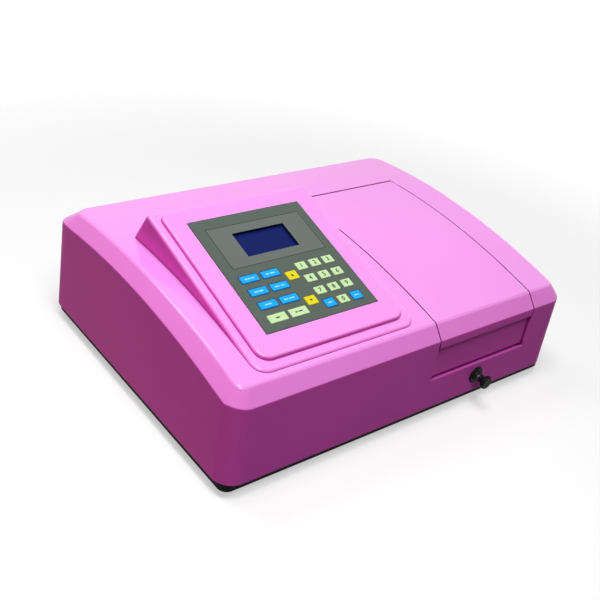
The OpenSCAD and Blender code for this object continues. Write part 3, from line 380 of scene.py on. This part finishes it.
# Black mouldings, rubber, castings and the motor
blackLook = {
    "deep": (0.009, 0.009, 0.010), "light": (0.018, 0.017, 0.018), "rubbed": (0.07, 0.07, 0.07),
    "rough": (0.45, 0.62), "grain": 0.0008, "patch": 0.03, "edge": 0.0008, "dust": 0.005,
    "bump": 0.25, "depth": 0.0003, "shine": 0.04,
}
knobLook = {
    "deep": (0.006, 0.006, 0.007), "light": (0.012, 0.012, 0.013), "rubbed": (0.05, 0.05, 0.05),
    "rough": (0.22, 0.34), "grain": 0.0006, "patch": 0.012, "edge": 0.0006, "dust": 0.005,
    "bump": 0.08, "depth": 0.0002, "shine": 0.05,
}
rubberLook = {
    "deep": (0.010, 0.010, 0.010), "light": (0.022, 0.021, 0.020), "rubbed": (0.06, 0.06, 0.058),
    "rough": (0.72, 0.88), "grain": 0.0005, "patch": 0.02, "edge": 0.0009, "dust": 0.10,
    "bump": 0.35, "depth": 0.0003, "shine": 0.3,
}
castLook = {
    "deep": (0.33, 0.335, 0.345), "light": (0.45, 0.455, 0.465), "rubbed": (0.66, 0.66, 0.67),
    "rough": (0.48, 0.66), "grain": 0.0011, "patch": 0.025, "edge": 0.0012, "dust": 0.05,
    "bump": 0.5, "depth": 0.0005, "metal": 0.9,
}
motorLook = {
    "deep": (0.020, 0.020, 0.022), "light": (0.040, 0.040, 0.043), "rubbed": (0.30, 0.30, 0.31),
    "rough": (0.35, 0.5), "grain": 0.0007, "patch": 0.015, "edge": 0.0008, "dust": 0.04,
    "bump": 0.2, "depth": 0.0003, "metal": 0.5,
}


# Drawn steel, rolled sheet and mirrors
brushedLook = {"edge": 0.0006, "breakUp": 0.5, "bump": 0.12, "depth": 0.0002}


def brushedFinish(name, look):
    look = {**brushedLook, **look}
    material, tree, shader = newMaterial(name)
    lines = placeGroup(tree, brushGroup, dict(zip(("Along X", "Along Y", "Along Z"), look["stretch"])))
    edges = placeGroup(tree, edgeGroup, {"Width": look["edge"], "Break Up": look["breakUp"]})
    colour = mixColour(tree, lines.outputs["Tarnish"], look["deep"], look["light"])
    colour = mixColour(tree, edges.outputs["Mask"], colour, look["rubbed"])
    tree.links.new(colour, shader.inputs["Base Color"])
    spreadRoughness(tree, shader, lines.outputs["Lines"], *look["rough"])
    bumpFrom(tree, shader, lines.outputs["Lines"], look["bump"], look["depth"], edges.outputs["Normal"])
    shader.inputs["Metallic"].default_value = 1.0
    return material


steelLook = {
    "deep": (0.56, 0.56, 0.57), "light": (0.72, 0.72, 0.73), "rubbed": (0.85, 0.85, 0.86),
    "rough": (0.16, 0.34), "stretch": (1.0, 0.08, 1.0),
}
sheetLook = {
    "deep": (0.62, 0.63, 0.64), "light": (0.74, 0.745, 0.75), "rubbed": (0.86, 0.86, 0.87),
    "rough": (0.28, 0.48), "stretch": (0.06, 1.0, 1.0),
}
mirrorLook = {
    "deep": (0.84, 0.86, 0.90), "light": (0.90, 0.91, 0.94), "rubbed": (0.60, 0.62, 0.66),
    "rough": (0.03, 0.08), "stretch": (1.0, 1.0, 0.02),
}


# Grey printed film: a darker ground, a lighter field round the display, the thin line that frames it, and
# near-black sides painted as shade in the display's reveal
membraneLook = {
    "deep": (0.080, 0.108, 0.088), "light": (0.094, 0.124, 0.102), "rubbed": (0.17, 0.18, 0.17),
    "rough": (0.42, 0.56), "grain": 0.0005, "patch": 0.02, "edge": 0.0003, "dust": 0.03,
    "bump": 0.12, "depth": 0.0001, "shine": 0.12,
    "field": (0.128, 0.150, 0.140), "line": (0.024, 0.028, 0.026), "side": (0.012, 0.013, 0.013),
    "frameCentre": (0.0025, 0.148), "frameHalf": (0.0588, 0.02825), "lineWidth": 0.0008,
    "face": 0.00425, "blur": 0.0001,
}


def paintMembrane(tree, ground):
    look = membraneLook
    centreU, centreV = look["frameCentre"]
    halfU, halfV = look["frameHalf"]
    masks = []
    for grow in (look["lineWidth"] / 2, -look["lineWidth"] / 2):
        box = placeGroup(tree, boxGroup, {"Centre U": centreU, "Centre V": centreV,
                                          "Half U": halfU + grow, "Half V": halfV + grow})
        masks.append(box.outputs["Mask"])
    lined = mixColour(tree, masks[0], ground, look["line"])
    printed = mixColour(tree, masks[1], lined, look["field"])
    # Below its printed face the film is painted near-black: painted shade on its cut sides and in the
    # display's reveal
    top = placeGroup(tree, stepGroup, {"Height": look["face"], "Blur": look["blur"]})
    return mixColour(tree, top.outputs["Mask"], look["side"], printed)


# Keys: a raised face in the key's colour inside a deeper rim
keyLook = {
    "rough": (0.36, 0.50), "grain": 0.0004, "patch": 0.006, "edge": 0.0003, "dust": 0.03,
    "bump": 0.10, "depth": 0.0001, "shine": 0.16, "face": 0.00462, "blur": 0.0001,
}
blueKeyLook = {
    "deep": (0.000, 0.360, 0.840), "light": (0.000, 0.440, 0.920), "rubbed": (0.10, 0.42, 0.88),
    "rim": (0.002, 0.075, 0.360),
}
greenKeyLook = {
    "deep": (0.540, 0.760, 0.370), "light": (0.620, 0.840, 0.460), "rubbed": (0.75, 0.88, 0.60),
    "rim": (0.380, 0.480, 0.240),
}
yellowKeyLook = {
    "deep": (0.740, 0.640, 0.004), "light": (0.810, 0.720, 0.008), "rubbed": (0.90, 0.78, 0.10),
    "rim": (0.520, 0.380, 0.004),
}


def keyFinish(name, look):
    def paint(tree, ground):
        face = placeGroup(tree, stepGroup, {"Height": keyLook["face"], "Blur": keyLook["blur"]})
        return mixColour(tree, face.outputs["Mask"], look["rim"], ground)
    return mouldedFinish(name, {**keyLook, **look}, paint)


# Display window: deep blue glass with the fine dot matrix behind it, and a black raised border painted
# near-black as the shade in the display's recess
displayLook = {
    "dot": (0.005, 0.014, 0.128), "between": (0.004, 0.010, 0.085), "border": (0.006, 0.006, 0.007),
    "pitch": 0.00048, "fill": 0.86, "borderHeight": 0.00115, "blur": 0.00005,
    "rough": (0.16, 0.26), "grain": 0.0006, "patch": 0.02, "bump": 0.02, "depth": 0.0001, "shine": 0.05,
}


def displayFinish(name, look):
    material, tree, shader = newMaterial(name)
    filled = []
    for along in consolePlace(tree)[:2]:
        cell = useMath(tree, "FRACT", useMath(tree, "DIVIDE", along, look["pitch"]))
        filled.append(useMath(tree, "LESS_THAN", cell, look["fill"]))
    dots = useMath(tree, "MULTIPLY", *filled)
    grain = placeGroup(tree, grainGroup, {"Grain Size": look["grain"], "Patch Size": look["patch"]})
    matrix = mixColour(tree, dots, look["between"], look["dot"])
    # Painted shade: the raised border round the glass is painted near-black for the shade in the display's
    # recess
    top = placeGroup(tree, stepGroup, {"Height": look["borderHeight"], "Blur": look["blur"]})
    colour = mixColour(tree, top.outputs["Mask"], matrix, look["border"])
    tree.links.new(colour, shader.inputs["Base Color"])
    spreadRoughness(tree, shader, grain.outputs["Patches"], *look["rough"])
    bumpFrom(tree, shader, grain.outputs["Height"], look["bump"], look["depth"])
    shader.inputs["Specular IOR Level"].default_value = look["shine"]
    return material


# Fused quartz for windows and the lamp's bulb
quartzLook = {
    "deep": (0.90, 0.94, 0.96), "light": (0.97, 0.98, 0.99), "rough": (0.02, 0.08),
    "grain": 0.0008, "patch": 0.01, "clear": 0.9, "ior": 1.46,
}


def quartzFinish(name, look):
    material, tree, shader = newMaterial(name)
    grain = placeGroup(tree, grainGroup, {"Grain Size": look["grain"], "Patch Size": look["patch"]})
    colour = mixColour(tree, grain.outputs["Patches"], look["deep"], look["light"])
    tree.links.new(colour, shader.inputs["Base Color"])
    spreadRoughness(tree, shader, grain.outputs["Patches"], *look["rough"])
    setInputs(shader, {"Transmission Weight": look["clear"], "IOR": look["ior"]})
    return material


# Circuit board: green resist over faint copper tracks
boardLook = {
    "deep": (0.012, 0.085, 0.032), "light": (0.018, 0.120, 0.046), "rubbed": (0.20, 0.25, 0.14),
    "rough": (0.32, 0.48), "grain": 0.0006, "patch": 0.012, "edge": 0.0005, "dust": 0.06,
    "bump": 0.15, "depth": 0.0002,
    "track": (0.045, 0.21, 0.075), "trackScale": 160.0, "trackSpread": 0.8, "trackWidth": 0.06,
}


def paintBoard(tree, ground):
    place = addNode(tree, "ShaderNodeTexCoord")
    cells = addNode(tree, "ShaderNodeTexVoronoi", feature="DISTANCE_TO_EDGE")
    setInputs(cells, {"Scale": boardLook["trackScale"], "Randomness": boardLook["trackSpread"]})
    tree.links.new(place.outputs["Object"], cells.inputs["Vector"])
    track = useMath(tree, "LESS_THAN", cells.outputs["Distance"], boardLook["trackWidth"])
    return mixColour(tree, track, ground, boardLook["track"])


# One finish for each material slot of the record
finishes = {
    "case_pink": mouldedFinish("casePink", pinkLook, paintTopLight),
    "moulded_black": mouldedFinish("mouldedBlack", blackLook),
    "knob_black": mouldedFinish("knobBlack", knobLook),
    "soft_black": mouldedFinish("softBlack", rubberLook),
    "cast_alloy": mouldedFinish("castAlloy", castLook),
    "motor_black": mouldedFinish("motorBlack", motorLook),
    "bright_steel": brushedFinish("brightSteel", steelLook),
    "sheet_alloy": brushedFinish("sheetAlloy", sheetLook),
    "optic_mirror": brushedFinish("opticMirror", mirrorLook),
    "membrane_grey": mouldedFinish("membraneGrey", membraneLook, paintMembrane),
    "display_blue": displayFinish("displayBlue", displayLook),
    "quartz": quartzFinish("quartz", quartzLook),
    "board_green": mouldedFinish("boardGreen", boardLook, paintBoard),
    "key_blue": keyFinish("keyBlue", blueKeyLook),
    "key_green": keyFinish("keyGreen", greenKeyLook),
    "key_yellow": keyFinish("keyYellow", yellowKeyLook),
}
print("finishes made")

nodeSlots = {row["node"]: row["material_slot"] for row in frame["record"]["subparts"]}
for nodeName, solid in frame["nodes"].items():
    solid.data.materials.clear()
    solid.data.materials.append(finishes[nodeSlots[nodeName]])
print("solids dressed")


# The casing's rear corners stand squarer below the bevel than above it, sizes in metres
rearCorner = {
    "wallX": 0.235, "wallY": 0.18125, "lean": 0.0122, "foot": 0.017,
    "radius": 0.030, "squarer": 0.015, "bevel": 0.013,
}


# How far the squarer corner reaches from the axis of the round one
def cornerReach(turn):
    inset = rearCorner["radius"] - rearCorner["squarer"]
    small, large = sorted((math.cos(turn), math.sin(turn)))
    if small * rearCorner["radius"] <= large * inset:
        return rearCorner["radius"] / large
    across = inset * (small + large)
    return across + math.sqrt(across ** 2 - 2 * inset ** 2 + rearCorner["squarer"] ** 2)


def squareCorners(work):
    c = rearCorner
    for vert in work.verts:
        lean = (vert.co.z - c["foot"]) * c["lean"]
        side = 1 if vert.co.x > 0 else -1
        axis = Vector((side * (c["wallX"] - lean - c["radius"]), c["wallY"] - lean - c["radius"]))
        out = Vector((side * (vert.co.x - axis.x), vert.co.y - axis.y))
        if min(out) <= 0:
            continue
        grown = cornerReach(math.atan2(out.y, out.x)) - c["radius"]
        share = min(max((out.length - c["radius"] + c["bevel"]) / c["bevel"], 0), 1)
        push = out.normalized() * grown * share ** 2
        vert.co.x += side * push.x
        vert.co.y += push.y


# Skins: the moulded parts again, welded, with softened rims and smooth shading
skinLook = {
    "weld": 0.002 * mm, "flat": math.radians(0.3),
    "rimTurn": math.radians(60), "broad": 0.3 * mm, "segments": 2,
}
skins = [
    {"node": "casing", "body": "chassis", "rim": 0.5 * mm, "sharp": math.radians(34), "shape": squareCorners},
    {"node": "console", "body": "chassis", "rim": 0.4 * mm, "sharp": math.radians(50)},
    {"node": "lid", "body": "lid", "rim": 0.5 * mm, "sharp": math.radians(34)},
]


# A rim is rounded where two broad faces meet at a sharp outer edge
def isRim(edge):
    broad = min(face.calc_area() / face.calc_perimeter() for face in edge.link_faces) > skinLook["broad"]
    return broad and edge.is_convex and edge.calc_face_angle(0) > skinLook["rimTurn"]


def makeSkin(skin):
    name = skin["node"] + "Skin"
    source = frame["nodes"][skin["node"]].data
    mesh = bpy.data.meshes.new(name)
    mesh.from_pydata([v.co[:] for v in source.vertices], [], [tuple(p.vertices) for p in source.polygons])
    work = bmesh.new()
    work.from_mesh(mesh)
    bmesh.ops.remove_doubles(work, verts=work.verts, dist=skinLook["weld"])
    if "shape" in skin:
        skin["shape"](work)
    bmesh.ops.dissolve_limit(work, angle_limit=skinLook["flat"], verts=work.verts[:], edges=work.edges[:])
    for face in work.faces:
        face.smooth = True
    soften = work.edges.layers.float.new("bevel_weight_edge")
    for edge in work.edges:
        edge.smooth = edge.calc_face_angle(0) < skin["sharp"]
        edge[soften] = 1.0 if isRim(edge) else 0.0
    work.to_mesh(mesh)
    work.free()
    piece = bpy.data.objects.new(name, mesh)
    scene.collection.objects.link(piece)
    rim = piece.modifiers.new("softRims", "BEVEL")
    rim.width = skin["rim"]
    rim.segments = skinLook["segments"]
    rim.limit_method = "WEIGHT"
    rim.use_clamp_overlap = False
    rim.miter_outer = "MITER_ARC"
    weigh = piece.modifiers.new("flatFaces", "WEIGHTED_NORMAL")
    weigh.keep_sharp = True
    mesh.materials.append(finishes[nodeSlots[skin["node"]]])
    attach(piece, skin["body"])
    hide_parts(skin["node"])


for skin in skins:
    makeSkin(skin)
print("skins laid on")


# Printed legends: thin raised ink on the keys, with its outlines in millimetres
inkLook = {
    "rubbed": (0.2, 0.3, 0.3), "rough": (0.45, 0.6), "grain": 0.0003, "patch": 0.003, "edge": 0.0001,
    "dust": 0.0, "bump": 0.1, "depth": 0.0001,
}
darkInk = {**inkLook, "deep": (0.020, 0.026, 0.018), "light": (0.035, 0.042, 0.030)}
paleInk = {**inkLook, "deep": (0.14, 0.56, 0.92), "light": (0.50, 0.80, 0.98)}
inks = {
    "dark": {"finish": mouldedFinish("darkInk", darkInk), "slot": "moulded_black"},
    "pale": {"finish": mouldedFinish("paleInk", paleInk), "slot": "key_green"},
}
legendLook = {
    "top": 4.8 * mm, "thick": 0.04 * mm, "weld": 0.0001 * mm,
    "digitSize": 7.29 * mm, "digitWeight": 0.18 * mm, "digitSteps": 4,
    "barGap": 0.9, "barHeight": 1.5, "endSteps": 6,
}
# Where the keys are on the panel, in millimetres
keyGrid = {"topRow": 104.2, "pitch": 17.5, "wideU": -47.2, "widePitch": 25.5, "arrowU": 0.0, "padU": 17.7}
consoleFrame = Matrix.Translation(consolePlane["origin"]) @ Matrix.Rotation(consolePlane["tilt"], 4, "X")


def rowV(i):
    return keyGrid["topRow"] - i * keyGrid["pitch"]


def barOutline(u, width, height):
    radius = height / 2
    points = []
    for side in (1, -1):
        for step in range(legendLook["endSteps"] + 1):
            turn = math.radians(-90 + 180 * step / legendLook["endSteps"])
            reach = width / 2 - radius + radius * math.cos(turn)
            points.append((u + side * reach, side * radius * math.sin(turn)))
    return points


def inkSolid(work, outline):
    floor = [work.verts.new((x * mm, y * mm, 0)) for x, y in outline]
    roof = [work.verts.new((x * mm, y * mm, legendLook["thick"])) for x, y in outline]
    work.faces.new(list(reversed(floor)))
    work.faces.new(roof)
    for i in range(len(outline)):
        j = (i + 1) % len(outline)
        work.faces.new((floor[i], floor[j], roof[j], roof[i]))


def placeLegend(keyName, work, u, v, shade):
    mesh = bpy.data.meshes.new(keyName + "Legend")
    bmesh.ops.recalc_face_normals(work, faces=work.faces)
    work.to_mesh(mesh)
    work.free()
    mesh.transform(consoleFrame @ Matrix.Translation((u * mm, v * mm, legendLook["top"])))
    piece = bpy.data.objects.new(keyName + "Legend", mesh)
    scene.collection.objects.link(piece)
    mesh.materials.append(inks[shade]["finish"])
    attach(piece, keyName)


def digitShape(text):
    curve = bpy.data.curves.new("digit", "FONT")
    curve.body = text
    curve.size = legendLook["digitSize"]
    curve.align_x = "CENTER"
    curve.align_y = "CENTER"
    curve.resolution_u = legendLook["digitSteps"]
    curve.offset = legendLook["digitWeight"]
    curve.extrude = legendLook["thick"] / 2
    shape = bpy.data.objects.new("digit", curve)
    scene.collection.objects.link(shape)
    mesh = bpy.data.meshes.new_from_object(shape.evaluated_get(bpy.context.evaluated_depsgraph_get()))
    work = bmesh.new()
    work.from_mesh(mesh)
    bmesh.ops.remove_doubles(work, verts=work.verts, dist=legendLook["weld"])
    bmesh.ops.translate(work, verts=work.verts, vec=(0, 0, legendLook["thick"] / 2))
    bpy.data.objects.remove(shape)
    bpy.data.curves.remove(curve)
    bpy.data.meshes.remove(mesh)
    return work


# Plain bars stand where a wide key has its words: their lengths, and the ink
wideLegends = [((7.0, 3.6), "pale"), ((4.4, 6.6), "pale"), ((10.6,), "pale"), ((6.2, 5.0), "pale"),
               ((8.4,), "pale"), ((5.0, 7.0), "pale"), ((5.2,), "dark"), ((3.2, 5.0), "dark")]
for number, (widths, shade) in enumerate(wideLegends):
    work = bmesh.new()
    start = -(sum(widths) + legendLook["barGap"] * (len(widths) - 1)) / 2
    for width in widths:
        inkSolid(work, barOutline(start + width / 2, width, legendLook["barHeight"]))
        start += width + legendLook["barGap"]
    u = keyGrid["wideU"] + (number % 2) * keyGrid["widePitch"]
    placeLegend("key_wide_%d" % (number + 1), work, u, rowV(number // 2), shade)

# Arrows up and down, each between two rows
arrowLegend = {"half": 1.9, "base": -1.4, "tip": 1.9}
for number, way in enumerate((1, -1)):
    a = arrowLegend
    outline = [(-a["half"], a["base"] * way), (a["half"], a["base"] * way), (0, a["tip"] * way)]
    work = bmesh.new()
    inkSolid(work, outline[::way])
    placeLegend("key_arrow_%d" % (number + 1), work, keyGrid["arrowU"], rowV(2 * number + 0.5), "dark")

# Digits, and a bar on the two blue keys beside the nought
padLegend = {"signs": "123456789-0-", "barWidth": 5.6, "barHeight": 1.4}
for number, sign in enumerate(padLegend["signs"]):
    u = keyGrid["padU"] + (number % 3) * keyGrid["pitch"]
    shade = "dark"
    if sign == "-":
        shade = "pale"
        work = bmesh.new()
        inkSolid(work, barOutline(0, padLegend["barWidth"], padLegend["barHeight"]))
    else:
        work = digitShape(sign)
    placeLegend("key_pad_%d" % (number + 1), work, u, rowV(number // 3), shade)
print("legends printed")


# Stage: a pale floor that fades out and keeps the shadow, a white surround and five soft lamps
stageLook = {
    "half": 2.0, "seen": (0.52, 0.52, 0.52), "bounce": (0.16, 0.15, 0.16), "glow": 0.52,
    "fade": (0.45, 0.85), "rough": 0.9, "surround": 0.02,
}


# 1 for rays from the camera, also by way of gloss or glass, and 0 for those that light the object
def seenRays(tree):
    path = addNode(tree, "ShaderNodeLightPath")
    seen = useMath(tree, "ADD", path.outputs["Is Camera Ray"], path.outputs["Is Glossy Ray"], True)
    return useMath(tree, "ADD", seen, path.outputs["Is Transmission Ray"], True)


def makeFloor(look):
    mesh = bpy.data.meshes.new("floor")
    half = look["half"]
    corners = [(-half, -half, 0), (half, -half, 0), (half, half, 0), (-half, half, 0)]
    mesh.from_pydata(corners, [], [(0, 1, 2, 3)])
    floor = bpy.data.objects.new("floor", mesh)
    scene.collection.objects.link(floor)
    material, tree, shader = newMaterial("paleFloor")
    seen = seenRays(tree)
    tree.links.new(mixColour(tree, seen, look["bounce"], look["seen"]), shader.inputs["Base Color"])
    place = addNode(tree, "ShaderNodeTexCoord")
    reach = addNode(tree, "ShaderNodeVectorMath", operation="LENGTH")
    tree.links.new(place.outputs["Object"], reach.inputs[0])
    fade = addNode(tree, "ShaderNodeMapRange", interpolation_type="SMOOTHSTEP")
    near, far = look["fade"]
    setInputs(fade, {"From Min": near, "From Max": far, "To Min": 1.0, "To Max": 0.0})
    tree.links.new(reach.outputs["Value"], fade.inputs["Value"])
    tree.links.new(fade.outputs["Result"], shader.inputs["Alpha"])
    tree.links.new(useMath(tree, "MULTIPLY", seen, look["glow"]), shader.inputs["Emission Strength"])
    setInputs(shader, {"Roughness": look["rough"], "Specular IOR Level": 0.0, "Emission Color": (1, 1, 1, 1)})
    mesh.materials.append(material)


def makeWorld(look):
    world = bpy.data.worlds.new("studio")
    scene.world = world
    world.use_nodes = True
    tree = world.node_tree
    back = tree.nodes["Background"]
    strength = addNode(tree, "ShaderNodeMapRange")
    setInputs(strength, {"To Min": look["surround"], "To Max": 1.0})
    tree.links.new(seenRays(tree), strength.inputs["Value"])
    tree.links.new(strength.outputs["Result"], back.inputs["Strength"])
    back.inputs["Color"].default_value = (1, 1, 1, 1)


lamps = [
    {"name": "key", "place": (-0.30, -0.19, 1.62), "aim": (0, 0, 0.1),
     "size": (0.6, 0.6), "power": 14.6, "tint": (1, 1, 1)},
    {"name": "frontFill", "place": (-0.42, -0.73, 1.44), "aim": (0, 0, 0.1),
     "size": (0.5, 0.5), "power": 7.3, "tint": (1, 1, 1)},
    {"name": "rearRim", "place": (-0.51, 0.67, 1.46), "aim": (0, 0, 0.1),
     "size": (0.3, 0.8), "power": 5.6, "tint": (1, 1, 1)},
    {"name": "leftFill", "place": (-1.6, 0.1, 0.2), "aim": (0, 0, 0.1),
     "size": (1.0, 0.5), "power": 1.7, "tint": (1, 0.50, 0.32)},
    {"name": "rightFill", "place": (1.6, 0.4, 0.4), "aim": (0.1, 0.1, 0.08),
     "size": (1.0, 0.5), "power": 2.4, "tint": (1, 1, 1)},
]


def makeLamp(lamp):
    data = bpy.data.lights.new(lamp["name"], "AREA")
    data.shape = "RECTANGLE"
    data.size, data.size_y = lamp["size"]
    data.energy = lamp["power"]
    data.color = lamp["tint"]
    light = bpy.data.objects.new(lamp["name"], data)
    scene.collection.objects.link(light)
    light.location = lamp["place"]
    back = Vector(lamp["place"]) - Vector(lamp["aim"])
    light.rotation_euler = back.to_track_quat("Z", "Y").to_euler()


makeFloor(stageLook)
makeWorld(stageLook)
for lamp in lamps:
    makeLamp(lamp)
print("stage lit")
